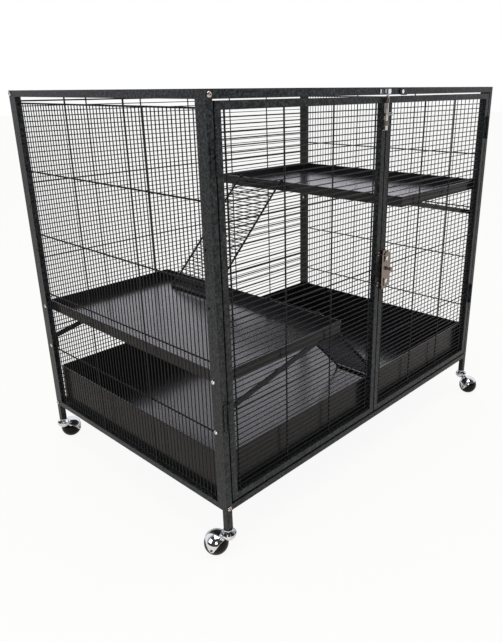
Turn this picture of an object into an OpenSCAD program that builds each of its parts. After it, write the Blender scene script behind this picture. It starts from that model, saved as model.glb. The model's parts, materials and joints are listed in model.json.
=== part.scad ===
// Ferret cage on ball casters: welded wire panels on square steel tube, two front doors,
// a deep floor pan, two shelf trays and two hook-on ramps.
// The cage stands on z = 0 and is centred in x and y. Its front faces -y.

/* [Cage] */
// Overall width, outside the posts
cage_w = 940; // [860:10:1150]
// Overall depth, outside the posts
cage_d = 635; // [560:5:760]
// Height of the posts, without the casters
post_h = 785; // [740:5:900]
// Side of the square steel tube
tube = 12.7; // [12:0.1:15]
// Wall of the steel tube
tube_wall = 1.2; // [0.8:0.1:2]
// Open leg below the bottom rails
leg_h = 42; // [36:1:60]

/* [Wire] */
// Thin wire
wire_d = 2; // [1.6:0.1:2.4]
// Heavy wire that the thin ones are welded to
heavy_d = 3.2; // [2.8:0.1:4]
// Spacing of the thin wires
wire_pitch = 10.75; // [9:0.05:14]
// Crossbars on a side panel
side_bars = 6; // [4:1:8]
// Bays between the heavy upright wires of a side panel
side_bays = 3; // [2:1:5]
// Heavy upright wires in a door
door_bars = 4; // [3:1:6]
// Bays between the heavy level wires of a door
door_bays = 4; // [3:1:6]
// Heavy upright wires in the rear panel
rear_bars = 5; // [3:1:7]
// Spacing of the heavy upright wires in the rear panel
rear_bar_pitch = 148.5; // [120:0.5:170]
// Heavy wires under the roof
roof_bars = 5; // [3:1:8]

/* [Doors] */
// Gap between a post and its door
hinge_gap = 3.2; // [3:0.1:5]
// Gap between the two doors
centre_gap = 3.6; // [3:0.1:6]
// Gap over the doors
door_top_gap = 3; // [2.5:0.1:6]
// Gap under the doors
door_foot_gap = 5; // [3:0.1:8]
// Height of a hinge
hinge_h = 52; // [40:1:70]
// Hinge centre below the top of the posts
hinge_drop = 98; // [80:1:150]
// Lower hinge centre above the feet of the posts
hinge_rise = 241; // [150:1:300]
// Diameter of a hinge pin
hinge_pin_d = 3; // [2.6:0.1:3.4]

/* [Pan and shelves] */
// Depth of the floor pan
pan_h = 103; // [60:1:115]
// Sheet steel of the pan and the trays
sheet = 1.2; // [1:0.1:1.6]
// Depth of a shelf tray
tray_h = 24; // [18:1:34]
// Middle shelf, out from the left side
mid_shelf_w = 345; // [250:5:360]
// Upper shelf, out from the right side
upper_shelf_w = 360; // [250:5:370]
// Top of the middle shelf above the feet of the posts
mid_shelf_z = 320; // [290:1:340]
// Top of the upper shelf above the feet of the posts
upper_shelf_z = 556; // [530:1:590]
// Diameter of the rolled rim of a tray
tray_rim_d = 4; // [3.6:0.1:5]
// Height between the two screws that hold a shelf and its brace
brace_drop = 100; // [80:1:120]
// How far a brace reaches under its tray
brace_run = 270; // [180:5:300]
// Width of the strip that a brace is made of
brace_w = 12; // [8:0.5:14]

/* [Ramps] */
// Spacing of the two rods of a ramp
ramp_w = 152; // [120:1:170]
// Slope of the lower ramp
ramp_angle = 45; // [42:1:48]
// Foot of the upper ramp, in from the rim of the middle shelf
upper_foot_in = 47.3; // [35:0.1:60]
// Rods of a ramp
ramp_rod_d = 5; // [4:0.1:6]
// Rungs of a ramp
rung_d = 2.4; // [2:0.1:3]
// Spacing of the rungs
rung_pitch = 10; // [8:0.5:20]
// Front rod of the lower ramp behind the front of the cage
lower_ramp_y = 80; // [60:1:120]
// Front rod of the upper ramp behind the front of the cage
upper_ramp_y = 384; // [300:1:400]

/* [Casters] */
// Height of a caster
caster_h = 62; // [58:1:75]
// Ball of a caster
ball_d = 48; // [44:1:52]
// Stem to the centre of the ball
caster_offset = 26.5; // [26:0.5:32]
// Slope of the ball's axle
axle_tilt = 40; // [35:1:45]
// Stem of a caster
stem_d = 8; // [7:0.1:9]

/* [Fasteners and latches] */
// Shank of the frame bolts
bolt_d = 5; // [4:0.1:5.5]
// Shank of the shelf screws
screw_d = 4; // [3:0.1:4.5]
// Rod of the door bolt
latch_rod_d = 6; // [5:0.1:7]
// How much wider an empty screw hole is than its screw
hole_play = 0.5; // [0.3:0.1:1]
// Travel of the door bolt
latch_travel = 11; // [8:0.5:11]
// Travel of the centre latch
slider_travel = 10; // [8:0.5:10.5]

/* [Hidden] */
$fn = 32;

frame_black = "#36383a";
wire_black = "#1d1e20";
sheet_black = "#3a3b3e";
chrome = "#d7d9dc";
plastic_black = "#151516";

fit = 0.1;           // radial play of what turns or slides
snug = 0.02;         // radial play of what is fixed in its hole
seat = 0.3;          // play of what rests on or beside its seat
through = 1;         // how far a cut runs past a face
eps = 0.01;

core = tube - 2 * tube_wall;
top_z = post_h - tube;
rail_top = leg_h + tube;
rail_plug = 8;
bolt_low = leg_h + tube / 2;
bolt_high = post_h - tube / 2;
cap_t = 1.5;

// Wires of one panel lie in two layers that touch at this depth behind the outer face.
layer_y = (tube - wire_d - heavy_d) / 2 + wire_d;

screw_inset = 1.5 * tube;
shelf_screw_drop = 12;
mid_screws = [mid_shelf_z - shelf_screw_drop, mid_shelf_z - shelf_screw_drop - brace_drop];
upper_screws = [upper_shelf_z - shelf_screw_drop, upper_shelf_z - shelf_screw_drop - brace_drop];

door_x = tube + hinge_gap;
door_w = (cage_w - 2 * door_x - centre_gap) / 2;
door_z = rail_top + door_foot_gap;
door_top = top_z - door_top_gap;
door_in_w = door_w - 2 * tube;
door_in_z = door_z + tube;
door_in_h = door_top - door_z - 2 * tube;
door_spaces = door_bays * round(door_in_h / door_bays / wire_pitch);
door_bar_inset = 12.5;

side_in_d = cage_d - 4 * tube;
side_spaces = side_bays * round(side_in_d / side_bays / wire_pitch);
side_bar_low = rail_top + 6.5;
side_bar_high = top_z - tube;
wire_overhang = 1.5;

rear_top_gap = 8.4;
rear_group = 16;
rear_lines = floor((top_z - rear_top_gap - rail_top - wire_d) / wire_pitch);

pan_gap = 2.3;
pan_clear_y = 5.3;
pan_rim_d = 3;
pan_z = rail_top - tube + 5;
support_d = 5;
support_rods = 5;
pan_corner = 9;
tray_corner = 3;

hinge_pin_x = tube + hinge_gap / 2;
hinge_pin_y = -3;
knuckle_d = 6;
leaf_t = 1.5;
leaf_w = 11;
hinge_split = 0.4;
knuckle_h = hinge_h / 4;
hinge_zs = [hinge_rise - hinge_h / 2, post_h - hinge_drop - hinge_h / 2];

latch_x = door_x + door_w - tube / 2;
rim_r = tray_rim_d / 2;
rod_r = ramp_rod_d / 2;
hook_r = rim_r + seat + rod_r;
hook_end = 180;
mid_pivot_x = tube + seat + mid_shelf_w - rim_r;
upper_pivot_x = cage_w - tube - seat - upper_shelf_w + rim_r;

ball_r = ball_d / 2;
cup_r = ball_r + 0.4;
hood_r = cup_r + 1.2;
axle_d = 5;
// The hood ends at a flat rim, whose axis points down, back to the stem and to the bare side.
rim_dip = 139.5;
rim_aim = 147.5;
rim_past = 3;
// Which way each caster trails, and on which side of its trail the ball is bare.
caster_turn = [117, 264, 27, 66];
caster_hand = [-1, 1, 1, -1];

// ---------- places ----------

module in_cage() {
  translate([-cage_w / 2, -cage_d / 2, caster_h]) children();
}

module half_turn() {
  translate([cage_w, cage_d, 0]) rotate([0, 0, 180]) children();
}

module mirror_x() {
  translate([cage_w, 0, 0]) mirror([1, 0, 0]) children();
}

module front_and_rear() {
  children();
  translate([0, cage_d, 0]) mirror([0, 1, 0]) children();
}

// ---------- bars ----------

module rod_x(from, to, y, z, d) {
  translate([from, y, z]) rotate([0, 90, 0]) cylinder(h = to - from, d = d);
}

module rod_y(from, to, x, z, d) {
  translate([x, from, z]) rotate([-90, 0, 0]) cylinder(h = to - from, d = d);
}

module rod_z(from, to, x, y, d) {
  translate([x, y, from]) cylinder(h = to - from, d = d);
}

// A square tube along z whose bore stops short of each end by `closed`.
module tube_z(from, to, closed) {
  difference() {
    translate([0, 0, from]) cube([tube, tube, to - from]);
    translate([tube_wall, tube_wall, from + closed]) cube([core, core, to - from - 2 * closed]);
  }
}

module tube_x(from, to, closed) {
  difference() {
    translate([from, 0, 0]) cube([to - from, tube, tube]);
    translate([from + closed, tube_wall, tube_wall]) cube([to - from - 2 * closed, core, core]);
  }
}

module tube_y(from, to, closed) {
  difference() {
    translate([0, from, 0]) cube([tube, to - from, tube]);
    translate([tube_wall, from + closed, tube_wall]) cube([core, to - from - 2 * closed, core]);
  }
}

// ---------- posts, rails and side frames ----------

// A post is open at both ends. Its bolt holes run along y.
module post() {
  difference() {
    tube_z(0, post_h, -through);
    for (z = [bolt_low, bolt_high])
      rod_y(-through, tube + through, tube / 2, z, bolt_d + 2 * snug);
  }
}

module front_left_post() {
  color(frame_black) in_cage() post();
}

module front_right_post() {
  color(frame_black) in_cage() translate([cage_w, 0, 0]) rotate([0, 0, 90]) post();
}

module rear_left_post() {
  color(frame_black) in_cage() half_turn() translate([cage_w, 0, 0]) rotate([0, 0, 90]) post();
}

module rear_right_post() {
  color(frame_black) in_cage() half_turn() post();
}

module long_rails() {
  for (z = [leg_h, top_z])
    difference() {
      translate([0, 0, z]) tube_x(tube, cage_w - tube, rail_plug);
      rod_x(cage_w - tube - rail_plug - through, cage_w - tube + through,
            tube / 2, z + tube / 2, bolt_d + 2 * snug);
    }
}

module front_rails() {
  color(frame_black) in_cage() difference() {
    long_rails();
    for (x = keeper_screw_xs())
      rod_y(-through, tube_wall + through, x, keeper_z(), screw_d + 2 * snug);
    rod_y(-through, tube_wall + through, button_x(), button_z(), screw_d + 2 * snug);
  }
}

module rear_rails() {
  color(frame_black) in_cage() half_turn() long_rails();
}

// The uprights of one side have holes for both shelves, and only its own shelf's hold screws.
module side_uprights(screws, empty) {
  difference() {
    for (y = [tube, cage_d - 2 * tube])
      translate([0, y, 0]) tube_z(leg_h, post_h, cap_t);
    for (z = [bolt_low, bolt_high])
      rod_y(tube - through, tube + tube_wall + through, tube / 2, z, bolt_d + 2 * snug);
    for (y = [screw_inset, cage_d - screw_inset]) {
      for (z = screws) rod_x(-through, tube + through, y, z, screw_d + 2 * snug);
      for (z = empty) rod_x(-through, tube + through, y, z, screw_d + hole_play);
    }
  }
}

module side_rails() {
  for (z = [leg_h, top_z])
    translate([0, 0, z]) tube_y(2 * tube, cage_d - 2 * tube, 0);
}

module left_side_uprights() {
  color(frame_black) in_cage() side_uprights(mid_screws, upper_screws);
}

module left_side_rails() {
  color(frame_black) in_cage() side_rails();
}

module right_side_uprights() {
  color(frame_black) in_cage() half_turn() side_uprights(upper_screws, mid_screws);
}

module right_side_rails() {
  color(frame_black) in_cage() half_turn() side_rails();
}

plug_w = core - 2 * snug;
plug_t = 3;
socket_h = 22;

// A plug closes the top of each post, and a socket in its foot holds the caster's stem.
module tube_plugs() {
  color(plastic_black) in_cage()
    for (x = [0, cage_w - tube], y = [0, cage_d - tube])
      translate([x + tube_wall + snug, y + tube_wall + snug, 0]) {
        translate([0, 0, post_h - plug_t]) cube([plug_w, plug_w, plug_t]);
        difference() {
          cube([plug_w, plug_w, socket_h]);
          translate([plug_w / 2, plug_w / 2, -through])
            cylinder(h = socket_h + 2 * through, d = stem_d + 2 * snug);
        }
      }
}

// ---------- wire panels ----------

// Side panel: thin uprights outside, heavy crossbars inside, heavy uprights rail to rail.
module side_wires() {
  y0 = 2 * tube;
  bay = side_spaces / side_bays;
  for (i = [1 : side_spaces - 1])
    let (y = y0 + i * side_in_d / side_spaces)
      if (i % bay == 0)
        rod_z(rail_top, top_z, layer_y - heavy_d / 2, y, heavy_d);
      else
        rod_z(side_bar_low - wire_overhang, side_bar_high + wire_overhang,
              layer_y - wire_d / 2, y, wire_d);
  for (i = [0 : side_bars - 1])
    rod_y(y0, y0 + side_in_d, layer_y + heavy_d / 2,
          side_bar_low + i * (side_bar_high - side_bar_low) / (side_bars - 1), heavy_d);
}

module left_side_wires() {
  color(wire_black) in_cage() side_wires();
}

module right_side_wires() {
  color(wire_black) in_cage() half_turn() side_wires();
}

// Rear panel: level wires outside, heavy uprights inside.
module rear_wires() {
  color(wire_black) in_cage() half_turn() {
    for (i = [0 : rear_lines]) {
      d = i % rear_group == 0 ? heavy_d : wire_d;
      rod_x(tube, cage_w - tube, layer_y - d / 2, top_z - rear_top_gap - i * wire_pitch, d);
    }
    for (i = [0 : rear_bars - 1])
      rod_z(rail_top, top_z, cage_w / 2 + (i - (rear_bars - 1) / 2) * rear_bar_pitch,
            layer_y + heavy_d / 2, heavy_d);
  }
}

// Roof: thin wires front to back on top, heavy wires across below them.
module roof_wires() {
  spaces = round((cage_w - 2 * tube) / wire_pitch);
  color(wire_black) in_cage() {
    for (i = [1 : spaces - 1])
      rod_y(tube, cage_d - tube, tube + i * (cage_w - 2 * tube) / spaces,
            post_h - layer_y + wire_d / 2, wire_d);
    for (i = [1 : roof_bars])
      rod_x(tube, cage_w - tube, 2 * tube + i * side_in_d / (roof_bars + 1),
            post_h - layer_y - heavy_d / 2, heavy_d);
  }
}

// ---------- floor pan and shelves ----------

// A slab with round corners, standing on z = 0.
module round_slab(w, d, h, r) {
  linear_extrude(height = h) union() {
    translate([r, 0]) square([w - 2 * r, d]);
    translate([0, r]) square([w, d - 2 * r]);
    for (x = [r, w - r], y = [r, d - r])
      translate([x, y]) circle(r = r);
  }
}

// A round bead along a rectangle with round corners. w and d run to its centre line.
module rolled_rim(w, d, r, bead) {
  for (y = [0, d]) rod_x(r, w - r, y, 0, bead);
  for (x = [0, w]) rod_y(r, d - r, x, 0, bead);
  for (c = [[r, r, 180], [w - r, r, 270], [w - r, d - r, 0], [r, d - r, 90]])
    translate([c[0], c[1], 0]) rotate([0, 0, c[2]])
      rotate_extrude(angle = 90) translate([r, 0]) circle(d = bead);
}

// A pressed tray. Its outer size is over the rim and its rim's top is at z = h.
module tray(w, d, h, bead, corner) {
  wall = (bead - sheet) / 2;
  difference() {
    union() {
      translate([wall, wall, 0])
        round_slab(w - 2 * wall, d - 2 * wall, h - bead / 2, corner);
      translate([bead / 2, bead / 2, h - bead / 2])
        rolled_rim(w - bead, d - bead, corner - sheet / 2, bead);
    }
    translate([wall + sheet, wall + sheet, sheet])
      round_slab(w - 2 * wall - 2 * sheet, d - 2 * wall - 2 * sheet, h, corner - sheet);
  }
}

module bottom_pan() {
  x0 = tube + pan_gap;
  y0 = tube + pan_clear_y;
  color(sheet_black) in_cage() translate([x0, y0, pan_z])
    tray(cage_w - 2 * x0, cage_d - 2 * y0, pan_h, pan_rim_d, pan_corner);
}

module pan_support_rods() {
  color(wire_black) in_cage()
    for (i = [1 : support_rods])
      rod_y(tube, cage_d - tube, i * cage_w / (support_rods + 1), pan_z - support_d / 2, support_d);
}

shelf_y = tube + 1.3;
rivet_d = 2.5;
rivet_in = 12;
rivet_y = screw_inset + 1;

// A shelf's tray at the left side, before it is raised to its level.
module shelf_tray(w, z, screws) {
  d = cage_d - 2 * shelf_y;
  difference() {
    translate([tube + seat, shelf_y, z - tray_h]) tray(w, d, tray_h, tray_rim_d, tray_corner);
    front_and_rear() {
      rod_x(tube, tube + seat + tray_rim_d, screw_inset, screws[0], screw_d + 2 * snug);
      rod_z(z - tray_h - through, z - tray_h + sheet + through,
            tube + seat + brace_run + rivet_in, rivet_y, rivet_d + 2 * snug);
    }
  }
}

module mid_shelf_tray() {
  color(sheet_black) in_cage() shelf_tray(mid_shelf_w, mid_shelf_z, mid_screws);
}

module upper_shelf_tray() {
  color(sheet_black) in_cage() mirror_x()
    shelf_tray(upper_shelf_w, upper_shelf_z, upper_screws);
}

strip_t = 2;
brace_tab = 8;
brace_rise = 18;
brace_y = tube + 1;

// Flat strip from a side upright up to the underside of a tray.
module brace(z, screws) {
  x0 = tube + seat;
  x1 = x0 + brace_run;
  under = z - tray_h - eps;
  root = screws[1] + brace_rise;
  slope = (under - root - brace_w) / brace_run;
  difference() {
    union() {
      translate([x0, brace_y, screws[1] - brace_tab])
        cube([strip_t, 2 * tube - brace_y, root + brace_w - screws[1] + brace_tab]);
      translate([x0, 2 * tube, 0]) rotate([90, 0, 0])
        linear_extrude(height = strip_t)
          polygon([[0, root], [(under - root) / slope, under], [brace_run, under],
                   [0, root + brace_w]]);
      translate([x1, brace_y, under - strip_t])
        cube([2 * rivet_in, 2 * tube - brace_y, strip_t]);
    }
    rod_x(x0 - through, x0 + strip_t + through, screw_inset, screws[1], screw_d + 2 * snug);
    rod_z(under - strip_t - through, under + through, x1 + rivet_in, rivet_y,
          rivet_d + 2 * snug);
  }
}

module shelf_braces() {
  color(frame_black) in_cage() {
    front_and_rear() brace(mid_shelf_z, mid_screws);
    mirror_x() front_and_rear() brace(upper_shelf_z, upper_screws);
  }
}

// ---------- fasteners ----------

// A button-head bolt along y: its head stands in front of y = 0 and its shank runs to +y.
module bolt(shank, length, head_d, head_h) {
  difference() {
    union() {
      rotate([90, 0, 0]) rotate_extrude()
        polygon([[0, 0], [0.5 * head_d, 0], [0.5 * head_d, 0.4 * head_h],
                 [0.42 * head_d, 0.75 * head_h], [0.26 * head_d, head_h], [0, head_h]]);
      rotate([-90, 0, 0]) cylinder(h = length, d = shank);
    }
    translate([0, -head_h / 2, 0]) rotate([90, 0, 0]) cylinder(h = head_h, d = 0.6 * shank, $fn = 6);
  }
}

bolt_head_d = 9.5;
bolt_head_h = 3;

module two_bolts() {
  for (z = [bolt_low, bolt_high])
    translate([tube / 2, 0, z]) bolt(bolt_d, tube + rail_plug, bolt_head_d, bolt_head_h);
}

module four_bolts() {
  two_bolts();
  translate([cage_w, 0, 0]) rotate([0, 0, 90]) two_bolts();
}

module frame_bolts() {
  color(chrome) in_cage() {
    four_bolts();
    half_turn() four_bolts();
  }
}

nut_t = 3;
screw_head_h = 2.4;
screw_end = 1;
// The upper screw ends in the tray's side wall, the lower one in the nut on a brace.
screw_lengths = [tube + seat + (tray_rim_d + sheet) / 2 + screw_end,
                 tube + seat + strip_t + nut_t + screw_end];

module shelf_screws(screws) {
  front_and_rear() for (i = [0, 1])
    translate([0, screw_inset, screws[i]]) rotate([0, 0, -90])
      bolt(screw_d, screw_lengths[i], 2 * screw_d, screw_head_h);
}

// A rivet up through a brace and a tray's floor, with a flat head at each end.
module brace_rivet(z) {
  head = 1;
  grip = strip_t + sheet + eps;
  translate([tube + seat + brace_run + rivet_in, rivet_y, z - tray_h - strip_t - eps]) {
    cylinder(h = grip, d = rivet_d);
    for (foot = [-head, grip])
      translate([0, 0, foot]) cylinder(h = head, d = 2 * rivet_d);
  }
}

module shelf_fasteners() {
  color(chrome) in_cage() {
    shelf_screws(mid_screws);
    front_and_rear() brace_rivet(mid_shelf_z);
    mirror_x() {
      shelf_screws(upper_screws);
      front_and_rear() brace_rivet(upper_shelf_z);
    }
  }
}

module nut_y(d, t) {
  rotate([-90, 0, 0]) difference() {
    cylinder(h = t, d = 1.9 * d, $fn = 6);
    translate([0, 0, -through]) cylinder(h = t + 2 * through, d = d + 2 * snug);
  }
}

module brace_nuts(screws) {
  front_and_rear() translate([tube + seat + strip_t, screw_inset, screws[1]])
    rotate([0, 0, -90]) nut_y(screw_d, nut_t);
}

module upright_nuts() {
  for (z = [bolt_low, bolt_high])
    translate([tube / 2, tube + tube_wall, z]) nut_y(bolt_d, nut_t + 1);
}

module nuts() {
  color(chrome) in_cage() {
    upright_nuts();
    half_turn() upright_nuts();
    brace_nuts(mid_screws);
    mirror_x() brace_nuts(upper_screws);
  }
}

// ---------- doors ----------

module door_stiles() {
  for (x = [door_x, door_x + door_w - tube])
    translate([x, 0, 0]) tube_z(door_z, door_top, cap_t);
}

module door_rails() {
  for (z = [door_z, door_top - tube])
    translate([0, 0, z]) tube_x(door_x + tube, door_x + door_w - tube, 0);
}

// Door panel: level wires outside, heavy uprights inside.
module door_wires() {
  x0 = door_x + tube;
  bay = door_spaces / door_bays;
  for (i = [1 : door_spaces - 1]) {
    d = i % bay == 0 ? heavy_d : wire_d;
    rod_x(x0, x0 + door_in_w, layer_y - d / 2, door_in_z + i * door_in_h / door_spaces, d);
  }
  for (i = [0 : door_bars - 1])
    rod_z(door_in_z, door_in_z + door_in_h,
          x0 + door_bar_inset + i * (door_in_w - 2 * door_bar_inset) / (door_bars - 1),
          layer_y + heavy_d / 2, heavy_d);
}

module left_door_stiles() {
  color(frame_black) in_cage() difference() {
    door_stiles();
    for (z = bolt_base_screws())
      rod_y(-through, tube_wall + through, latch_x, z, base_screw_d + 2 * snug);
  }
}

module left_door_rails() {
  color(frame_black) in_cage() door_rails();
}

module left_door_wires() {
  color(wire_black) in_cage() door_wires();
}

module right_door_stiles() {
  color(frame_black) in_cage() difference() {
    mirror_x() door_stiles();
    for (z = latch_screw_zs())
      rod_y(-through, tube_wall + through, slot_x, z, shoulder_d + 2 * snug);
  }
}

module right_door_rails() {
  color(frame_black) in_cage() mirror_x() door_rails();
}

module right_door_wires() {
  color(wire_black) in_cage() mirror_x() door_wires();
}

// ---------- hinges ----------

module knuckle(from, to, bore) {
  difference() {
    children();
    translate([hinge_pin_x, hinge_pin_y, from - through])
      cylinder(h = to - from + 2 * through, d = bore);
  }
}

// The fixed leaf carries the two end knuckles, the door's leaf the middle one.
module post_leaf(z0) {
  low = z0 + knuckle_h;
  high = z0 + hinge_h - knuckle_h;
  reach = knuckle_d / 2 + hinge_split;
  knuckle(z0, z0 + hinge_h, hinge_pin_d + 2 * snug) difference() {
    union() {
      translate([hinge_pin_x - leaf_w, -leaf_t, z0]) cube([leaf_w, leaf_t, hinge_h]);
      translate([hinge_pin_x, hinge_pin_y, z0]) cylinder(h = hinge_h, d = knuckle_d);
    }
    translate([hinge_pin_x - reach, hinge_pin_y - knuckle_d, low])
      cube([2 * knuckle_d, 2 * knuckle_d, high - low]);
  }
}

module door_leaf(z0) {
  low = z0 + knuckle_h + hinge_split;
  high = z0 + hinge_h - knuckle_h - hinge_split;
  knuckle(low, high, hinge_pin_d + 2 * fit) union() {
    translate([hinge_pin_x, -leaf_t, low]) cube([leaf_w - 2, leaf_t, high - low]);
    translate([hinge_pin_x, hinge_pin_y, low]) cylinder(h = high - low, d = knuckle_d);
  }
}

module post_hinge_leaves() {
  color(frame_black) in_cage() for (z = hinge_zs) {
    post_leaf(z);
    mirror_x() post_leaf(z);
  }
}

module hinge_pin(z0) {
  translate([hinge_pin_x, hinge_pin_y, z0 - 1]) cylinder(h = hinge_h + 2, d = hinge_pin_d);
  translate([hinge_pin_x, hinge_pin_y, z0 + hinge_h + eps]) cylinder(h = 2, d = knuckle_d);
}

module hinge_pins() {
  color(frame_black) in_cage() for (z = hinge_zs) {
    hinge_pin(z);
    mirror_x() hinge_pin(z);
  }
}

module left_door_hinge_leaves() {
  color(frame_black) in_cage() for (z = hinge_zs) door_leaf(z);
}

module right_door_hinge_leaves() {
  color(frame_black) in_cage() mirror_x() for (z = hinge_zs) door_leaf(z);
}

// ---------- door bolt at the top of the left door ----------

bolt_rod_y = -6;
base_w = 12;
base_t = 1.2;
base_h = 62;
base_top = door_top - 3;
base_screw_d = 3;
guide_wall = 1.2;
guide_h = 9;
rod_len = 66;
rod_tip = door_top + 2.2;
keeper_half = 13.85;
keeper_t = 1.2;
keeper_h = 9;
knob_z = door_top - 33;
knob_d = 7;
knob_len = 7;
knob_neck = 4;

function keeper_z() = bolt_high;
function keeper_screw_xs() = [latch_x - keeper_half, latch_x + keeper_half];
function bolt_base_screws() = [base_top - base_h + 5, base_top - base_h / 2];
function guide_zs() = [base_top - base_h + 10, base_top - guide_h];

module door_bolt_base() {
  hole = latch_rod_d + 2 * fit;
  guide_w = hole + 2 * guide_wall;
  color(chrome) in_cage() difference() {
    union() {
      translate([latch_x - base_w / 2, -base_t, base_top - base_h]) cube([base_w, base_t, base_h]);
      for (z = guide_zs()) {
        translate([latch_x, bolt_rod_y, z]) cylinder(h = guide_h, d = guide_w);
        translate([latch_x - guide_w / 2, bolt_rod_y, z]) cube([guide_w, -bolt_rod_y, guide_h]);
      }
      for (z = bolt_base_screws()) {
        rod_y(-base_t - 1, -base_t, latch_x, z, 1.8 * base_screw_d);
        rod_y(-base_t, tube_wall + screw_end, latch_x, z, base_screw_d);
      }
    }
    for (z = guide_zs())
      translate([latch_x, bolt_rod_y, z - through]) cylinder(h = guide_h + 2 * through, d = hole);
  }
}

// The knob stands out to the front, clear of the other door.
module door_bolt_rod() {
  knob_y = bolt_rod_y - latch_rod_d / 2 - knob_neck;
  color(chrome) in_cage() {
    rod_z(rod_tip - rod_len, rod_tip, latch_x, bolt_rod_y, latch_rod_d);
    rod_y(knob_y, bolt_rod_y, latch_x, knob_z, knob_d / 2);
    rod_y(knob_y - knob_len, knob_y, latch_x, knob_z, knob_d);
  }
}

// A hat-shaped strap that the rod rises into.
module door_bolt_keeper() {
  inner = latch_rod_d + 2 * seat;
  out_y = bolt_rod_y - inner / 2 - keeper_t;
  z0 = keeper_z() - keeper_h / 2;
  foot = keeper_half + 5;
  color(chrome) in_cage() difference() {
    union() {
      translate([latch_x - foot, -keeper_t, z0]) cube([2 * foot, keeper_t, keeper_h]);
      translate([latch_x - inner / 2 - keeper_t, out_y, z0])
        cube([inner + 2 * keeper_t, -out_y, keeper_h]);
      for (x = keeper_screw_xs()) {
        rod_y(-keeper_t - 1.4, -keeper_t, x, keeper_z(), 2 * screw_d);
        rod_y(-keeper_t, tube_wall + screw_end, x, keeper_z(), screw_d);
      }
    }
    translate([latch_x - inner / 2, out_y + keeper_t, z0 - through])
      cube([inner, -out_y - 2 * keeper_t, keeper_h + 2 * through]);
  }
}

// ---------- centre latch ----------

latch_z = door_z + 351;
strike_h = 68;
strike_up = 3;
strike_z = [latch_z + strike_up - strike_h / 2, latch_z + strike_up + strike_h / 2];
strike_d = 4;
strike_x = latch_x + 1;
strike_y = -12;
slider_z = latch_z;
slider_h = 80;
slider_w = 23;
slider_t = 2;
latch_block_t = 6;
latch_gap_x = latch_x + tube / 2 + centre_gap;
slider_x = latch_gap_x + 4.4;
slot_x = latch_gap_x + 9.2;
tongue_h = 36;
tongue_x = latch_gap_x - centre_gap + 1.3;
shoulder_d = 4;
stud_d = 5;
stud_h = 9;

function latch_screw_zs() = [for (s = [-1, 1]) slider_z + s * 0.32 * slider_h];

// A staple on the left door: a bar on two feet.
module centre_latch_strike() {
  color(chrome) in_cage() {
    rod_z(strike_z[0], strike_z[1], strike_x, strike_y, strike_d);
    for (z = strike_z) {
      translate([strike_x, strike_y, z]) sphere(d = strike_d);
      rod_y(strike_y, 0, strike_x, z, strike_d);
      rod_y(-1.2, 0, strike_x, z, 2.4 * strike_d);
    }
  }
}

// A block on the right door brings the sliding plate out in line with the staple.
module centre_latch_base() {
  color(chrome) in_cage() difference() {
    translate([latch_gap_x + seat, -latch_block_t, slider_z - slider_h / 2 - 4])
      cube([tube - 2 * seat, latch_block_t, slider_h + 8]);
    for (z = latch_screw_zs())
      rod_y(-latch_block_t - through, through, slot_x, z, shoulder_d + 2 * snug);
  }
}

module centre_latch_screws() {
  under_head = -latch_block_t - slider_t - 2 * seat;
  color(chrome) in_cage() for (z = latch_screw_zs()) {
    rod_y(under_head - 2, tube_wall + screw_end, slot_x, z, shoulder_d);
    rod_y(under_head - 2, under_head, slot_x, z, 2.1 * shoulder_d);
  }
}

// The sliding plate: round ends, two slots, a tongue that goes behind the staple, a thumb stud.
module centre_latch_slider() {
  back = -latch_block_t - seat;
  end_r = slider_w / 2;
  slot_r = shoulder_d / 2 + seat;
  color(chrome) in_cage() {
    translate([0, back, 0]) rotate([90, 0, 0]) linear_extrude(height = slider_t) difference() {
      union() {
        translate([slider_x, slider_z - slider_h / 2 + end_r])
          square([slider_w, slider_h - 2 * end_r]);
        for (s = [-1, 1])
          translate([slider_x + end_r, slider_z + s * (slider_h / 2 - end_r)]) circle(r = end_r);
        translate([tongue_x, slider_z - tongue_h / 2])
          square([slider_x - tongue_x + end_r, tongue_h]);
      }
      for (z = latch_screw_zs()) {
        for (x = [slot_x, slot_x + slider_travel]) translate([x, z]) circle(r = slot_r);
        translate([slot_x, z - slot_r]) square([slider_travel, 2 * slot_r]);
      }
    }
    rod_y(back - slider_t - stud_h, back - slider_t, slider_x + 0.62 * slider_w, slider_z, stud_d);
    rod_y(back - slider_t - stud_h, back - slider_t - stud_h / 2, slider_x + 0.62 * slider_w,
          slider_z, 1.8 * stud_d);
  }
}

// ---------- turn button over the right door ----------

// Turned along the rail it ends level with the rail's top and clears the door below.
button_len = 22;
button_w = 14;
button_t = 2;
function button_x() = cage_w / 2 + 50;
function button_z() = post_h - button_w / 2;

module turn_button() {
  reach = button_len - button_w / 2;
  color(frame_black) in_cage()
    translate([button_x(), -seat, button_z()]) rotate([90, 0, 0])
      linear_extrude(height = button_t) difference() {
        union() {
          circle(d = button_w);
          translate([0, -button_w / 2]) square([reach, button_w]);
          translate([reach, 0]) circle(d = button_w);
        }
        circle(d = screw_d + 2 * fit);
      }
}

module turn_button_screw() {
  under_head = -2 * seat - button_t;
  color(chrome) in_cage() {
    rod_y(under_head, tube_wall + screw_end, button_x(), button_z(), screw_d);
    rod_y(under_head - 2, under_head, button_x(), button_z(), 2 * screw_d);
  }
}

// ---------- ramps ----------

ramp_foot_d = ramp_rod_d + 1;
ramp_end = 4;
first_rung = 12;

// From the rim's centre down to the centre of the foot, which rests on a floor `drop` below.
function ramp_fall(drop) = drop - ramp_foot_d / 2 - seat;

// Slope of a ramp whose foot is `out` from the rim's centre.
function ramp_slope(drop, out) =
  atan2(ramp_fall(drop), out) + asin(hook_r / norm([ramp_fall(drop), out]));

// Length of a ramp's straight rods, from the top of the rim to its foot.
function ramp_run(drop, slope) = (hook_r * cos(slope) + ramp_fall(drop)) / sin(slope);

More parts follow.
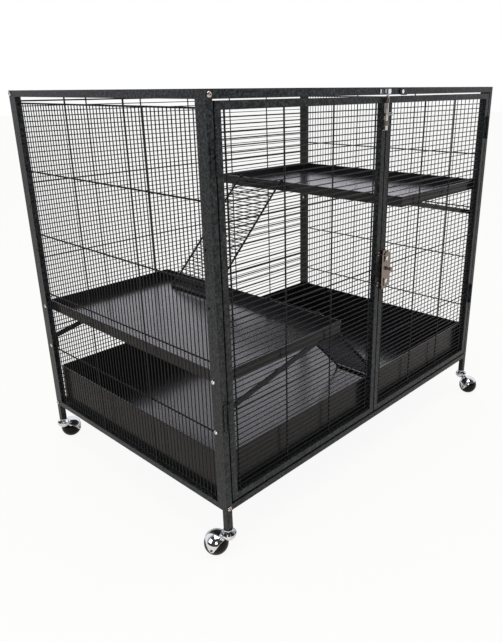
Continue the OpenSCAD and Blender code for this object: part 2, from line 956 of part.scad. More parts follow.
// Rods of a ramp that hangs on a rim at the origin and falls towards +x.
module ramp_rods(y, drop, slope) {
  top = [hook_r * sin(slope), hook_r * cos(slope)];
  run = ramp_run(drop, slope);
  for (side_y = [y, y + ramp_w])
    translate([0, side_y, 0]) {
      translate([top[0], 0, top[1]]) rotate([0, 90 + slope, 0])
        cylinder(h = run, d = ramp_rod_d);
      rotate([90, 0, 0]) rotate([0, 0, 90 - slope])
        rotate_extrude(angle = hook_end - 90 + slope)
          translate([hook_r, 0]) circle(d = ramp_rod_d);
    }
  rod_y(y - ramp_end, y + ramp_w + ramp_end, top[0] + run * cos(slope),
        top[1] - run * sin(slope), ramp_foot_d);
}

// Rungs on top of the rods, spaced down the slope.
module ramp_rungs(y, drop, slope) {
  up = hook_r + rod_r + rung_d / 2 + eps;
  for (u = [first_rung : rung_pitch : ramp_run(drop, slope) - ramp_end])
    rod_y(y - ramp_end, y + ramp_w + ramp_end,
          up * sin(slope) + u * cos(slope), up * cos(slope) - u * sin(slope), rung_d);
}

lower_drop = mid_shelf_z - rim_r - pan_z - sheet;
upper_drop = upper_shelf_z - mid_shelf_z + tray_h - rim_r - sheet;
// Kept to a tenth of a degree.
upper_slope = round(10 * ramp_slope(upper_drop, upper_pivot_x - mid_pivot_x + upper_foot_in)) / 10;

module at_lower_pivot() {
  in_cage() translate([mid_pivot_x, 0, mid_shelf_z - rim_r]) children();
}

module at_upper_pivot() {
  in_cage() translate([upper_pivot_x, 0, upper_shelf_z - rim_r]) mirror([1, 0, 0]) children();
}

module lower_ramp_rods() {
  color(wire_black) at_lower_pivot() ramp_rods(lower_ramp_y, lower_drop, ramp_angle);
}

module lower_ramp_rungs() {
  color(wire_black) at_lower_pivot() ramp_rungs(lower_ramp_y, lower_drop, ramp_angle);
}

module upper_ramp_rods() {
  color(wire_black) at_upper_pivot() ramp_rods(upper_ramp_y, upper_drop, upper_slope);
}

module upper_ramp_rungs() {
  color(wire_black) at_upper_pivot() ramp_rungs(upper_ramp_y, upper_drop, upper_slope);
}

// ---------- casters ----------

flange_t = 1.6;
flange_d = 18;
collar_top = caster_h - flange_t - seat;
collar_h = 24;
collar_r = 14;
stem_in = 19;
stem_foot = collar_top - stem_in;

function post_x(i) = i % 2 == 0 ? tube / 2 - cage_w / 2 : cage_w / 2 - tube / 2;
function post_y(i) = i < 2 ? tube / 2 - cage_d / 2 : cage_d / 2 - tube / 2;

// The trail of caster i runs along +x, its ball faces +y or -y.
module at_caster(i) {
  translate([post_x(i), post_y(i), 0]) rotate([0, 0, caster_turn[i]])
    mirror([0, caster_hand[i] < 0 ? 1 : 0, 0]) children();
}

module along_rim() {
  translate([caster_offset, 0, ball_r]) rotate([0, rim_dip, rim_aim]) children();
}

module along_axle() {
  translate([caster_offset, 0, ball_r]) rotate([-90 - axle_tilt, 0, 0]) children();
}

module caster_stems() {
  color(chrome) for (i = [0 : 3]) {
    rod_z(stem_foot, caster_h + socket_h - plug_t, post_x(i), post_y(i), stem_d);
    rod_z(caster_h - flange_t, caster_h, post_x(i), post_y(i), flange_d);
  }
}

// Chrome hood: a cup round the top of the ball, cast in one with the stem's collar.
module caster_hood(i) {
  color(chrome) at_caster(i) difference() {
    union() {
      difference() {
        along_rim() sphere(r = hood_r, $fn = 48);
        along_rim() translate([-2 * hood_r, -2 * hood_r, rim_past]) cube(4 * hood_r);
      }
      translate([0, 0, collar_top - collar_h]) rotate_extrude()
        polygon([[0, 0], [collar_r - 4, 0], [collar_r - 1.5, 2.5], [collar_r, 8],
                 [collar_r, collar_h - 3], [collar_r - 2, collar_h], [0, collar_h]]);
    }
    along_rim() sphere(r = cup_r, $fn = 48);
    translate([0, 0, stem_foot - seat]) cylinder(h = caster_h, d = stem_d + 2 * fit);
    along_axle() translate([0, 0, -2 * ball_r]) cylinder(h = 2 * ball_r, d = axle_d + 2 * snug);
  }
}

module caster_axle(i) {
  color(chrome) at_caster(i) along_axle() {
    translate([0, 0, -hood_r]) cylinder(h = hood_r + ball_r * 0.4, d = axle_d);
    translate([0, 0, -hood_r - 1.4]) cylinder(h = 1.4, d = 1.6 * axle_d);
  }
}

module caster_ball(i) {
  color(plastic_black) at_caster(i) difference() {
    translate([caster_offset, 0, ball_r]) sphere(r = ball_r, $fn = 48);
    along_axle() translate([0, 0, -2 * ball_r])
      cylinder(h = 2 * ball_r + ball_r * 0.4 + seat, d = axle_d + 2 * fit);
  }
}

module front_left_caster_hood() { caster_hood(0); }
module front_left_caster_axle() { caster_axle(0); }
module front_left_caster_ball() { caster_ball(0); }
module front_right_caster_hood() { caster_hood(1); }
module front_right_caster_axle() { caster_axle(1); }
module front_right_caster_ball() { caster_ball(1); }
module rear_left_caster_hood() { caster_hood(2); }
module rear_left_caster_axle() { caster_axle(2); }
module rear_left_caster_ball() { caster_ball(2); }
module rear_right_caster_hood() { caster_hood(3); }
module rear_right_caster_axle() { caster_axle(3); }
module rear_right_caster_ball() { caster_ball(3); }

front_left_post();
front_right_post();
rear_left_post();
rear_right_post();
front_rails();
rear_rails();
left_side_uprights();
left_side_rails();
right_side_uprights();
right_side_rails();
left_side_wires();
right_side_wires();
rear_wires();
roof_wires();
tube_plugs();
frame_bolts();
nuts();
pan_support_rods();
bottom_pan();
mid_shelf_tray();
upper_shelf_tray();
shelf_braces();
shelf_fasteners();
left_door_stiles();
left_door_rails();
left_door_wires();
right_door_stiles();
right_door_rails();
right_door_wires();
post_hinge_leaves();
hinge_pins();
left_door_hinge_leaves();
right_door_hinge_leaves();
door_bolt_base();
door_bolt_rod();
door_bolt_keeper();
centre_latch_strike();
centre_latch_base();
centre_latch_screws();
centre_latch_slider();
turn_button();
turn_button_screw();
lower_ramp_rods();
lower_ramp_rungs();
upper_ramp_rods();
upper_ramp_rungs();
caster_stems();
front_left_caster_hood();
front_left_caster_axle();
front_left_caster_ball();
front_right_caster_hood();
front_right_caster_axle();
front_right_caster_ball();
rear_left_caster_hood();
rear_left_caster_axle();
rear_left_caster_ball();
rear_right_caster_hood();
rear_right_caster_axle();
rear_right_caster_ball();
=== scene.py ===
# %% [markdown]
# # A wire cage on ball casters
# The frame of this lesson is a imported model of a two-door wire cage. Its pieces already have their
# true shape, so the work here is the light, the camera, the finish of every surface, and the small
# forms that a construction model leaves out. Everything is in metres, with the cage standing on z = 0.

# %% Load the frame
import json
import math
import bpy
import numpy as np
from mathutils import Matrix, Vector


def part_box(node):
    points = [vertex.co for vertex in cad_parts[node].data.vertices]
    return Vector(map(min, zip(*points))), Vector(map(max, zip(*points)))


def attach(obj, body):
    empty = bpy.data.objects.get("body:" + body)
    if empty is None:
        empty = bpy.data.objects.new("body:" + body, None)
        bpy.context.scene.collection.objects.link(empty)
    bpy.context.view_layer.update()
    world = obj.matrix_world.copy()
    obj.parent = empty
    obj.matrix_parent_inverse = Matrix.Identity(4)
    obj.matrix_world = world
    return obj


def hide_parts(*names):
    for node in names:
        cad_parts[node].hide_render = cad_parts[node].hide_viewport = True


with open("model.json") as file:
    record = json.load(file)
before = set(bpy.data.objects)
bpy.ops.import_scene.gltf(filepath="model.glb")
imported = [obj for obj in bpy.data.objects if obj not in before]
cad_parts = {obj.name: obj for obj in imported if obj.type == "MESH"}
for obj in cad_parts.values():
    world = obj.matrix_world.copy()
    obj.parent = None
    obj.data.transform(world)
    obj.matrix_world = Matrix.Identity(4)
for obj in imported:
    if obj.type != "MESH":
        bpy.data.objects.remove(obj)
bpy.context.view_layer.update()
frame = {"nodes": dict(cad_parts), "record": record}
nodes = frame["nodes"]
MM = 0.001

# %% [markdown]
# ## The camera
# The photograph was taken from the front left, a little above the roof. A camera is a place, a
# direction and a lens. The direction is built from three plain angles, because these can be checked
# by eye: how far round, how far down, and how far the horizon is turned. The lens is shifted a
# little, because the middle of the photograph isn't where its camera pointed.

# %% Camera
CAMERA_AT = (-1.0822, -1.0400, 0.8507)
CAMERA_ROUND = math.radians(42.307)
CAMERA_DOWN = math.radians(20.35)
CAMERA_ROLL = math.radians(-0.393)
LENS_MM = 34.22
SENSOR_MM = 36
SHIFT_X = -0.0627
SHIFT_Y = -0.0126


def make_camera():
    """Aims a camera: its own -Z looks forward, so it is tipped up from straight down, then turned."""
    data = bpy.data.cameras.new("camera")
    data.sensor_fit = "AUTO"
    data.sensor_width = SENSOR_MM
    data.lens = LENS_MM
    data.shift_x = SHIFT_X
    data.shift_y = SHIFT_Y
    camera = bpy.data.objects.new("camera", data)
    turn = Matrix.Rotation(CAMERA_ROUND - math.pi / 2, 4, "Z")
    tip = Matrix.Rotation(math.pi / 2 - CAMERA_DOWN, 4, "X")
    roll = Matrix.Rotation(CAMERA_ROLL, 4, "Z")
    camera.matrix_world = Matrix.Translation(CAMERA_AT) @ turn @ tip @ roll
    bpy.context.scene.collection.objects.link(camera)
    bpy.context.scene.camera = camera
    return camera


camera = make_camera()
print("camera looks along", [round(v, 3) for v in camera.matrix_world.to_3x3() @ Vector((0, 0, -1))])

# %% [markdown]
# ## Small helpers for materials
# A colour is written as the hex value that an artist would pick, and a renderer wants it linear. A
# node tree is easiest to read when each node is one line, so one function adds a node, sets its
# values and makes its links.

# %% Helpers


def linear(code):
    """sRGB hex to linear RGBA: below 0.04045 a straight line, above it a power of 2.4."""
    part = np.array([int(code[i:i + 2], 16) for i in (1, 3, 5)]) / 255
    value = np.where(part <= 0.04045, part / 12.92, ((part + 0.055) / 1.055) ** 2.4)
    return (*value.tolist(), 1.0)


def add(tree, kind, sockets=(), **settings):
    """Adds one node. A socket's value is a number or colour, or another node's output."""
    node = tree.nodes.new(kind)
    for name, value in settings.items():
        setattr(node, name, value)
    for name, value in dict(sockets).items():
        if isinstance(value, bpy.types.NodeSocket):
            tree.links.new(value, node.inputs[name])
        else:
            node.inputs[name].default_value = value
    return node


def new_material(name):
    """An empty material, with the output node that its shader goes to."""
    material = bpy.data.materials.new(name)
    material.use_nodes = True
    material.node_tree.nodes.clear()
    output = material.node_tree.nodes.new("ShaderNodeOutputMaterial")
    return material, material.node_tree, output


def per_mm(size):
    """The scale at which a pattern on Object coordinates repeats about once in `size` millimetres."""
    return 1 / (size * MM)


# %% [markdown]
# ## Floor, light and background
# The cage is black wire against white, so the background has to be clean and the light soft. What
# the camera sees of the world and the floor is white, and the floor keeps a faint shadow. What the
# surfaces mirror is a studio: white walls behind the cage and above it, a dark room in front, where
# the camera stands, and a warm paper floor with the cage's own shadow on it. Without those darker
# sides black paint looks grey and chrome looks like milk. Three square lamps shape the form: one
# overhead, one on the left, and a small one beside the camera, which draws the thin highlights along
# rounded corners.

# %% Stage
FLOOR_SIZE = 40.0
FLOOR_WHITE = 0.92
MIRRORED_WHITE = 0.2
EVEN_LIGHT = 0.75
ROOM_SIDE = (-0.66, -0.64, 0.39)
ROOM_EDGE, ROOM_MIDDLE, ROOM_LIGHT = -0.1, 0.45, 0.05
LAMPS_AIM = (0, 0, 0.4)
# Each lamp: where it hangs, the length of its side in metres, and its power in watts.
LAMPS = {"overhead_lamp": ((-0.4, -0.6, 2.6), 1.8, 22),
         "left_lamp": ((-2.6, 0.3, 1.5), 1.4, 12),
         "camera_side_lamp": ((-2.1, -2.2, 1.5), 0.8, 10)}


def seen_straight(tree, path):
    """1 for rays from the camera and rays that have passed through something clear, else 0."""
    return add(tree, "ShaderNodeMath", {0: path.outputs["Is Camera Ray"],
               1: path.outputs["Is Transmission Ray"]}, operation="MAXIMUM").outputs[0]


def white_share(tree):
    """How much of the floor is plain white: most of it straight on, a little of it in a mirror."""
    path = add(tree, "ShaderNodeLightPath")
    direct = add(tree, "ShaderNodeMath", {0: seen_straight(tree, path), 1: FLOOR_WHITE},
                 operation="MULTIPLY")
    mirrored = add(tree, "ShaderNodeMath", {0: path.outputs["Is Glossy Ray"], 1: MIRRORED_WHITE},
                   operation="MULTIPLY")
    return add(tree, "ShaderNodeMath", {0: direct.outputs[0], 1: mirrored.outputs[0]},
               operation="MAXIMUM").outputs[0]


def make_floor():
    """A pale square whose shadows show at a small share of their full depth."""
    mesh = bpy.data.meshes.new("floor")
    half = FLOOR_SIZE / 2
    mesh.from_pydata([(-half, -half, 0), (half, -half, 0), (half, half, 0), (-half, half, 0)],
                     [], [(0, 1, 2, 3)])
    floor = bpy.data.objects.new("floor", mesh)
    bpy.context.scene.collection.objects.link(floor)
    material, tree, output = new_material("white_studio_floor")
    paper = add(tree, "ShaderNodeBsdfDiffuse", {"Color": linear("#e6e0d8")})
    white = add(tree, "ShaderNodeEmission", {"Color": linear("#ffffff"), "Strength": 1.0})
    both = add(tree, "ShaderNodeMixShader", {0: white_share(tree), 1: paper.outputs[0],
                                             2: white.outputs[0]})
    tree.links.new(both.outputs[0], output.inputs[0])
    mesh.materials.append(material)


def make_world():
    """Camera rays see white, mirrored rays see the studio, and all other rays an even light.

    The studio is dark along ROOM_SIDE. With the angle away from it, the cosine falls from
    ROOM_MIDDLE to ROOM_EDGE and the light rises from ROOM_LIGHT to white.
    """
    world = bpy.data.worlds.new("studio")
    bpy.context.scene.world = world
    world.use_nodes = True
    tree = world.node_tree
    tree.nodes.clear()
    output = add(tree, "ShaderNodeOutputWorld")
    path = add(tree, "ShaderNodeLightPath")
    where = add(tree, "ShaderNodeTexCoord").outputs["Generated"]
    side = add(tree, "ShaderNodeVectorMath", {0: where, 1: ROOM_SIDE}, operation="DOT_PRODUCT")
    room = add(tree, "ShaderNodeMapRange", {"Value": side.outputs["Value"],
               "From Min": ROOM_EDGE, "From Max": ROOM_MIDDLE, "To Min": 1.0,
               "To Max": ROOM_LIGHT}, interpolation_type="SMOOTHSTEP")
    even = add(tree, "ShaderNodeBackground", {"Color": linear("#ffffff"),
                                              "Strength": EVEN_LIGHT})
    studio = add(tree, "ShaderNodeBackground", {"Color": linear("#f3f1fa"),
                                                "Strength": room.outputs["Result"]})
    white = add(tree, "ShaderNodeBackground", {"Color": linear("#ffffff"), "Strength": 1.0})
    mirrored = add(tree, "ShaderNodeMixShader", {0: path.outputs["Is Glossy Ray"],
                   1: even.outputs[0], 2: studio.outputs[0]})
    world_light = add(tree, "ShaderNodeMixShader", {0: seen_straight(tree, path),
                      1: mirrored.outputs[0], 2: white.outputs[0]})
    tree.links.new(world_light.outputs[0], output.inputs[0])


def make_lamp(name, at, size, power):
    """A square lamp that looks at the middle of the cage."""
    data = bpy.data.lights.new(name, "AREA")
    data.size = size
    data.energy = power
    lamp = bpy.data.objects.new(name, data)
    aim = Vector(LAMPS_AIM) - Vector(at)
    lamp.matrix_world = Matrix.Translation(at) @ aim.to_track_quat("-Z", "Y").to_matrix().to_4x4()
    bpy.context.scene.collection.objects.link(lamp)


make_floor()
make_world()
for name, (at, size, power) in LAMPS.items():
    make_lamp(name, at, size, power)
bpy.context.scene.view_settings.view_transform = "Standard"
print("stage: one floor, one world,", len(LAMPS), "lamps")

# %% [markdown]
# ## Hammered powder coat on the tubes
# Pet cages are coated with polyester powder that is baked until it flows. The hammered kind pulls
# into small dimples, 2 to 3 mm across, with a darker ground between paler flecks. A cell pattern
# gives the dimples their height, and a noise at the same size gives the flecks. They are drawn about
# 4 mm across here, because finer ones don't show from where the photograph was taken. Square tube is
# rolled, so its corners are round, and each carries a thin highlight. A Bevel node bends the normal
# there, over the real radius of about 1.5 mm. The wires get the same powder in a plain, finer form.

# %% Powder coats
FLECKS_FROM, FLECKS_FULL = 0.42, 0.66
POWDER_IOR = 1.5


def powder_coat(name, dark, pale, dimple_mm, depth_mm, corner_mm, gleam):
    """Dimples from a smooth cell pattern, flecks from a noise of the same size, rounded corners.

    The ramp turns from dark to pale where the noise lies between FLECKS_FROM and FLECKS_FULL.
    """
    material, tree, output = new_material(name)
    where = add(tree, "ShaderNodeTexCoord").outputs["Object"]
    cells = add(tree, "ShaderNodeTexVoronoi", {"Vector": where, "Scale": per_mm(dimple_mm),
                                               "Smoothness": 0.6}, feature="SMOOTH_F1")
    flecks = add(tree, "ShaderNodeTexNoise", {"Vector": where, "Scale": per_mm(dimple_mm),
                                              "Detail": 3.0, "Roughness": 0.6})
    ramp = add(tree, "ShaderNodeValToRGB", {"Fac": flecks.outputs["Fac"]})
    ramp.color_ramp.elements[0].position = FLECKS_FROM
    ramp.color_ramp.elements[0].color = linear(dark)
    ramp.color_ramp.elements[1].position = FLECKS_FULL
    ramp.color_ramp.elements[1].color = linear(pale)
    corner = add(tree, "ShaderNodeBevel", {"Radius": corner_mm * MM}, samples=6)
    bump = add(tree, "ShaderNodeBump", {"Height": cells.outputs["Distance"], "Strength": 0.7,
                                        "Distance": depth_mm * MM,
                                        "Normal": corner.outputs["Normal"]})
    shader = add(tree, "ShaderNodeBsdfPrincipled",
                 {"Base Color": ramp.outputs["Color"], "Roughness": 0.34, "IOR": POWDER_IOR,
                  "Specular IOR Level": gleam, "Normal": bump.outputs["Normal"]})
    tree.links.new(shader.outputs[0], output.inputs[0])
    return material


hammered_coat = powder_coat("hammered_powder_coat", "#06080a", "#33383b", dimple_mm=4.2,
                            depth_mm=0.5, corner_mm=1.5, gleam=0.25)
wire_coat = powder_coat("thin_wire_powder_coat", "#0b0c0d", "#17181a", dimple_mm=1.2,
                        depth_mm=0.05, corner_mm=0.2, gleam=0.25)
print("powder coats:", hammered_coat.name, "and", wire_coat.name)

# %% [markdown]
# ## Baked enamel on sheet steel
# The pan and the trays are pressed from sheet and enamelled. The film flows out thick and glossy on
# the floors, which lie flat in the oven, and stays thin on the walls, with a faint orange peel about
# 4 mm across. So the floors mirror the white room, and the walls stay dark. A second noise, 90 mm
# across, stands for the haze that handling leaves.

# %% Sheet enamel
PEEL_MM, HAZE_MM = 4, 90
PEEL_DEPTH = 0.08 * MM
ENAMEL_IOR, FILM_IOR = 1.52, 1.9


def sheet_enamel(name, colour):
    """A glossy film, thick where the surface faces up; its gloss varies a little with handling."""
    material, tree, output = new_material(name)
    place = add(tree, "ShaderNodeTexCoord")
    where = place.outputs["Object"]
    facing = add(tree, "ShaderNodeSeparateXYZ", {"Vector": place.outputs["Normal"]})
    film = add(tree, "ShaderNodeMapRange", {"Value": facing.outputs["Z"], "From Min": 0.3,
                                            "From Max": 0.95})
    peel = add(tree, "ShaderNodeTexNoise", {"Vector": where, "Scale": per_mm(PEEL_MM),
                                            "Detail": 2.0})
    wear = add(tree, "ShaderNodeTexNoise", {"Vector": where, "Scale": per_mm(HAZE_MM),
                                            "Detail": 4.0})
    gloss = add(tree, "ShaderNodeMapRange", {"Value": wear.outputs["Fac"], "To Min": 0.20,
                                             "To Max": 0.30})
    bump = add(tree, "ShaderNodeBump", {"Height": peel.outputs["Fac"], "Strength": 0.3,
                                        "Distance": PEEL_DEPTH})
    shader = add(tree, "ShaderNodeBsdfPrincipled",
                 {"Base Color": linear(colour), "Roughness": gloss.outputs["Result"],
                  "IOR": ENAMEL_IOR, "Specular IOR Level": 0.3,
                  "Coat Weight": film.outputs["Result"], "Coat IOR": FILM_IOR,
                  "Coat Roughness": 0.22, "Normal": bump.outputs["Normal"]})
    tree.links.new(shader.outputs[0], output.inputs[0])
    return material


enamel = sheet_enamel("dark_enamelled_sheet", "#161618")
print("enamel:", enamel.name)

# %% [markdown]
# ## Chrome, zinc and nickel plate
# Chrome is bluish white and very smooth. What makes it read as plated steel is a trace of brushing
# left under the plate, so the roughness varies a little at about 1 mm. Screw sockets, dimples and
# the gaps between plates get a painted shade: an Ambient Occlusion node darkens the colour there.
# The frame's bolts are nickel plated instead, which is warmer and duller, and the latches are
# bright zinc, which is greyer. The casters' axles are plain blackened steel.

# %% Plated metals
# Painted shade: hollows are darkened towards this colour by ambient occlusion, between these two open
# shares.
PAINTED_SHADE_COLOUR = "#1c1917"
PAINTED_SHADE_FULL, PAINTED_SHADE_NONE = 0.4, 0.8
BRUSHING_MM, BRUSHING_GAIN = 1, 0.09


def plated_metal(name, colour, roughness, painted_shade_mm):
    """Plate whose colour carries a painted shade in hollows as wide as given.

    The ramp turns from the painted shade's dark to the plate's colour as the open share of the view
    out of a point rises from PAINTED_SHADE_FULL to PAINTED_SHADE_NONE.
    """
    material, tree, output = new_material(name)
    # Painted shade: ambient occlusion darkens the plate's colour in sockets, gaps and dimples.
    painted_shade_ao = add(tree, "ShaderNodeAmbientOcclusion", {"Distance": painted_shade_mm * MM}, samples=8)
    ramp = add(tree, "ShaderNodeValToRGB", {"Fac": painted_shade_ao.outputs["AO"]})
    ramp.color_ramp.elements[0].position = PAINTED_SHADE_FULL
    ramp.color_ramp.elements[0].color = linear(PAINTED_SHADE_COLOUR)
    ramp.color_ramp.elements[1].position = PAINTED_SHADE_NONE
    ramp.color_ramp.elements[1].color = linear(colour)
    where = add(tree, "ShaderNodeTexCoord").outputs["Object"]
    polish = add(tree, "ShaderNodeTexNoise", {"Vector": where, "Scale": per_mm(BRUSHING_MM),
                                              "Detail": 3.0})
    gloss = add(tree, "ShaderNodeMapRange", {"Value": polish.outputs["Fac"], "To Min": roughness,
                                             "To Max": roughness + BRUSHING_GAIN})
    shader = add(tree, "ShaderNodeBsdfPrincipled",
                 {"Base Color": ramp.outputs["Color"], "Metallic": 1.0,
                  "Roughness": gloss.outputs["Result"]})
    tree.links.new(shader.outputs[0], output.inputs[0])
    return material


chrome = plated_metal("bright_chrome_plate", "#eceef0", roughness=0.04, painted_shade_mm=1.5)
zinc = plated_metal("bright_zinc_plate", "#8f8580", roughness=0.10, painted_shade_mm=2.0)
nickel = plated_metal("warm_nickel_plate", "#d3c3ba", roughness=0.12, painted_shade_mm=3.0)
black_steel = plated_metal("blackened_steel", "#3b3b3d", roughness=0.28, painted_shade_mm=1.5)
print("metals:", [metal.name for metal in (chrome, zinc, nickel, black_steel)])

# %% [markdown]
# ## Moulded plastics
# The casters' balls are black nylon, which comes glossy from its mould. The plugs in the tubes are
# polyethylene, softer and duller. Both show a fine grain from the mould, under 1 mm.

# %% Plastics
PLASTIC_IOR = 1.53
GRAIN_DEPTH = 0.03 * MM
SMOOTHER, ROUGHER = 0.05, 0.08


def moulded_plastic(name, colour, roughness, grain_mm, gleam):
    """One noise of the mould's grain drives both a shallow relief and a small change of gloss."""
    material, tree, output = new_material(name)
    where = add(tree, "ShaderNodeTexCoord").outputs["Object"]
    grain = add(tree, "ShaderNodeTexNoise", {"Vector": where, "Scale": per_mm(grain_mm),
                                             "Detail": 2.0})
    gloss = add(tree, "ShaderNodeMapRange", {"Value": grain.outputs["Fac"],
                                             "To Min": roughness - SMOOTHER,
                                             "To Max": roughness + ROUGHER})
    bump = add(tree, "ShaderNodeBump", {"Height": grain.outputs["Fac"], "Strength": 0.2,
                                        "Distance": GRAIN_DEPTH})
    shader = add(tree, "ShaderNodeBsdfPrincipled",
                 {"Base Color": linear(colour), "Roughness": gloss.outputs["Result"],
                  "IOR": PLASTIC_IOR, "Specular IOR Level": gleam,
                  "Normal": bump.outputs["Normal"]})
    tree.links.new(shader.outputs[0], output.inputs[0])
    return material


nylon = moulded_plastic("black_moulded_nylon", "#0d0c0c", roughness=0.16, grain_mm=0.8,
                        gleam=0.16)
polyethylene = moulded_plastic("black_moulded_polyethylene", "#18181a", roughness=0.5,
                               grain_mm=0.6, gleam=0.5)
print("plastics:", nylon.name, "and", polyethylene.name)

# %% [markdown]
# ## Each node gets its finish
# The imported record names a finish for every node, so the assignment is one table from the record's
# names to the materials above. The record calls every plated piece chrome, so the bolts' nickel and
# the latches' zinc are set by name afterwards.

# %% Assign
FINISH = {"frame_paint": hammered_coat, "wire_paint": wire_coat, "sheet_paint": enamel,
          "chrome": chrome, "ball_plastic": nylon, "plug_plastic": polyethylene}
ZINC_PARTS = ("centre_latch_base", "centre_latch_slider", "centre_latch_strike", "door_bolt_base")

for part in frame["record"]["subparts"]:
    mesh = nodes[part["node"]].data
    mesh.materials.clear()
    mesh.materials.append(FINISH[part["material_slot"]])
nodes["frame_bolts"].data.materials[0] = nickel
for name in ZINC_PARTS:
    nodes[name].data.materials[0] = zinc
print("finishes:", {slot: material.name for slot, material in FINISH.items()})

# %% [markdown]
# ## Surfaces from numpy
# Every new piece is a grid of points worked out as one array: rings of points, one after another
# along the piece. One function joins such rings into a mesh and closes the two ends. Another makes
# the object, and names its body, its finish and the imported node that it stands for.

# %% Grid to mesh
SHARP = math.radians(35)


def grid_faces(rows, columns, start):
    """Quads between neighbouring rings of a grid whose columns close on themselves."""
    row, column = np.meshgrid(np.arange(rows - 1), np.arange(columns), indexing="ij")
    right = (column + 1) % columns
    quads = np.stack([row * columns + column, row * columns + right,
                      (row + 1) * columns + right, (row + 1) * columns + column], axis=-1)
    return (quads.reshape(-1, 4) + start).tolist()


def closed_tubes(grids):
    """Points and faces of several closed tubes, each a grid of rings with a flat face at each end."""
    points, faces, start = [], [], 0
    for grid in grids:
        rows, columns, _ = grid.shape
        points.append(grid.reshape(-1, 3))
        faces += grid_faces(rows, columns, start)
        faces.append((start + np.arange(columns)[::-1]).tolist())
        faces.append((start + (rows - 1) * columns + np.arange(columns)).tolist())
        start += rows * columns
    return np.concatenate(points), faces


def make_piece(name, grids, material, body, stands_for):
    """One object of several tubes, which rides on a body and stands for one of the frame's nodes."""
    points, faces = closed_tubes(grids)
    mesh = bpy.data.meshes.new(name)
    mesh.from_pydata(points.tolist(), [], faces)
    mesh.materials.append(material)
    mesh.shade_smooth()
    mesh.set_sharp_from_angle(angle=SHARP)
    piece = bpy.data.objects.new(name, mesh)
    bpy.context.scene.collection.objects.link(piece)
    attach(piece, body)
    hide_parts(stands_for)
    print(name, "rides on", body, "with", len(faces), "faces in", len(grids), "tubes")


# %% [markdown]
# ## The rim of a caster's hood
# A ball caster's hood is a zinc casting under chrome. It covers the top of the ball, and on each side
# a lobe comes down to carry the axle's end. The rim could be cut from a sphere by other solids. But it
# is a single curve, so it is simpler to write it down: a level line, less a bell-shaped dip round
# each end of the axle. Each caster is worked out in its own frame, x from the stem to the ball and z
# up, with the axle along y.

# %% Hood sizes and rim
CUP_GAP = 0.4 * MM
HOOD_WALL = 1.2 * MM
RIM_UP = math.radians(36)
LOBE_DROP = math.radians(50)
LOBE_HALF_WIDTH = math.radians(28)
LOBE_POWER = 1.6
SEAM = 0.05 * MM


def rim_height(turn):
    """Height angle of the rim: RIM_UP, less a bell curve centred on each end of the axle."""
    dip = np.zeros_like(turn)
    for side in (-math.pi / 2, math.pi / 2):
        away = np.abs(np.arctan2(np.sin(turn - side), np.cos(turn - side)))
        dip += np.exp(-(away / LOBE_HALF_WIDTH) ** LOBE_POWER)
    return RIM_UP - LOBE_DROP * dip


lowest, highest = np.degrees(rim_height(np.radians([90, 0])))
print("rim: from", round(lowest, 1), "degrees at the axle to", round(highest, 1), "over the front")

# %% [markdown]
# ## The dome
# The dome is a shell of even wall round the ball. Its grid has the turn in one direction. The other
# runs down the inside from the pole to the rim, round the rim's edge in a half circle, and up the
# outside to the pole again, so one grid closes the whole shell.

# %% Dome
POLE = math.radians(89.6)
DOME_COLUMNS = 120
DOME_ROWS = 25
EDGE_POINTS = 9


def dome(centre, ball_r):
    """From the inside of the pole down to the rim, round its edge, and up the outside again."""
    turn = np.linspace(0, 2 * math.pi, DOME_COLUMNS, endpoint=False)
    rim = rim_height(turn)
    half = HOOD_WALL / 2
    middle = ball_r + CUP_GAP + half
    share = np.linspace(0, 1, DOME_ROWS)[:, None]
    edge = np.linspace(0, math.pi, EDGE_POINTS)[1:-1, None]
    height = np.concatenate([POLE + (rim - POLE) * share, rim - half / middle * np.sin(edge),
                             rim + (POLE - rim) * share])
    radius = np.concatenate([np.full_like(share, middle - half), middle - half * np.cos(edge),
                             np.full_like(share, middle + half)])
    ring = np.stack([np.cos(height) * np.cos(turn), np.cos(height) * np.sin(turn),
                     np.sin(height)], axis=-1)
    return centre + ring * radius[..., None]


# %% [markdown]
# ## The bowl round the stem
# Beside the dome the casting has an open bowl, in which the stem stands. It is a profile turned round
# the stem: a superellipse outside, a half-round lip, and a floor with a blind hole for the stem. The
# bowl meets the dome, so its points that would lie inside the ball's cup are pushed out to the cup.

# %% Bowl
BOWL_R = 15.2 * MM
BOWL_DEPTH = 14 * MM
BOWL_TOP = 52.5 * MM
BOWL_WALL = 1.6 * MM
BOWL_FLOOR = 46.5 * MM
BOWL_POWER = 2.1
BOWL_DEEPEST = 0.985
BOWL_ROWS = 20
BOWL_COLUMNS = 72
STEM_HOLE_R = 4.2 * MM
STEM_HOLE_FOOT = 40.6 * MM


def turned(profile, columns, axis):
    """A profile of (radius, place along the axis) turned round z or y, rings in order."""
    radius, along = np.array(profile).T
    turn = np.linspace(0, 2 * math.pi, columns, endpoint=False)
    across = radius[:, None] * np.cos(turn)
    over = radius[:, None] * np.sin(turn)
    along = np.repeat(along[:, None], columns, axis=1)
    order = (across, over, along) if axis == "z" else (across, along, -over)
    return np.stack(order, axis=-1)


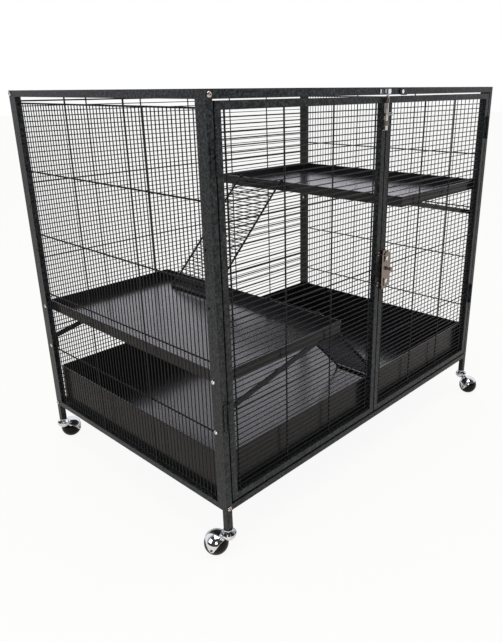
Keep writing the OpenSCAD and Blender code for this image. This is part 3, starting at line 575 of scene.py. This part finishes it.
def bowl(centre, ball_r):
    """Radius to the power plus depth share to the power is 1 outside; then lip, floor and hole."""
    depth = np.linspace(BOWL_DEEPEST, 0, BOWL_ROWS)
    outside = BOWL_R * (1 - depth ** BOWL_POWER) ** (1 / BOWL_POWER)
    lip = np.linspace(0, math.pi, EDGE_POINTS)[1:]
    half = BOWL_WALL / 2
    radius = np.concatenate([[SEAM], outside, BOWL_R - half + half * np.cos(lip),
                             [BOWL_R - BOWL_WALL, STEM_HOLE_R, STEM_HOLE_R, SEAM]])
    z = np.concatenate([[BOWL_TOP - BOWL_DEPTH * BOWL_DEEPEST], BOWL_TOP - BOWL_DEPTH * depth,
                        BOWL_TOP + half * np.sin(lip),
                        [BOWL_FLOOR, BOWL_FLOOR, STEM_HOLE_FOOT, STEM_HOLE_FOOT]])
    points = turned(np.stack([radius, z], axis=-1), BOWL_COLUMNS, "z")
    away = points - centre
    distance = np.linalg.norm(away, axis=-1, keepdims=True)
    return centre + away * np.maximum(1, (ball_r + CUP_GAP) / distance)


# %% [markdown]
# ## The axle's ends
# What shows of the axle is a dark spot on each lobe, with a soft edge and the dimple of the punch that
# spread it. Each end starts at the ball's skin and reaches a little past the hood, and the second is
# the first turned by half a turn, so that its faces still look outwards.

# %% Axle ends
AXLE_R = 2.5 * MM
AXLE_PROUD = 1.0 * MM
AXLE_DIMPLE = 1.4 * MM
AXLE_SOFT = 0.4 * MM
DIMPLE_LIP, DIMPLE_STEP = 0.3 * MM, 0.2 * MM
AXLE_COLUMNS = 32


def axle_ends(centre, ball_r):
    """The two ends of the pin, from the ball's skin outward: a soft edge, and a dimple in the face."""
    reach = ball_r + CUP_GAP + HOOD_WALL + AXLE_PROUD
    start = ball_r + CUP_GAP / 2
    profile = [(SEAM, start), (AXLE_R, start), (AXLE_R, reach - AXLE_SOFT),
               (AXLE_R - AXLE_SOFT, reach), (AXLE_DIMPLE + DIMPLE_LIP, reach),
               (AXLE_DIMPLE, reach - DIMPLE_STEP), (AXLE_DIMPLE, reach - AXLE_DIMPLE),
               (SEAM, reach - AXLE_DIMPLE)]
    end = turned(profile, AXLE_COLUMNS, "y")
    return [centre + end, centre + end * (-1, -1, 1)]


# %% [markdown]
# ## Four casters
# The frame knows where each ball and each post is, so their boxes give the caster's place and
# heading: the stem stands under the middle of its post, and the ball trails from it. The hoods and
# axle ends turn with the swivels and take the place of the construction model's simpler ones.

# %% Make the casters
CORNERS = ("front_left", "front_right", "rear_left", "rear_right")

for corner in CORNERS:
    ball_low, ball_high = (np.array(end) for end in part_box(corner + "_caster_ball"))
    post_low, post_high = (np.array(end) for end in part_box(corner + "_post"))
    ball_r = (ball_high[2] - ball_low[2]) / 2
    stem = (post_low + post_high) / 2 * (1, 1, 0)
    trail = ((ball_low + ball_high) / 2 - stem) * (1, 1, 0)
    offset = np.linalg.norm(trail)
    ahead = trail / offset
    caster_axes = np.array([ahead, (-ahead[1], ahead[0], 0), (0, 0, 1)])
    centre = np.array([offset, 0, ball_low[2] + ball_r])
    swivel = corner + "_swivel"
    shells = [stem + grid @ caster_axes for grid in (dome(centre, ball_r), bowl(centre, ball_r))]
    make_piece(corner + "_cast_hood", shells, chrome, swivel, corner + "_caster_hood")
    pins = [stem + grid @ caster_axes for grid in axle_ends(centre, ball_r)]
    make_piece(corner + "_axle_pin", pins, black_steel, swivel,
               corner + "_caster_axle")
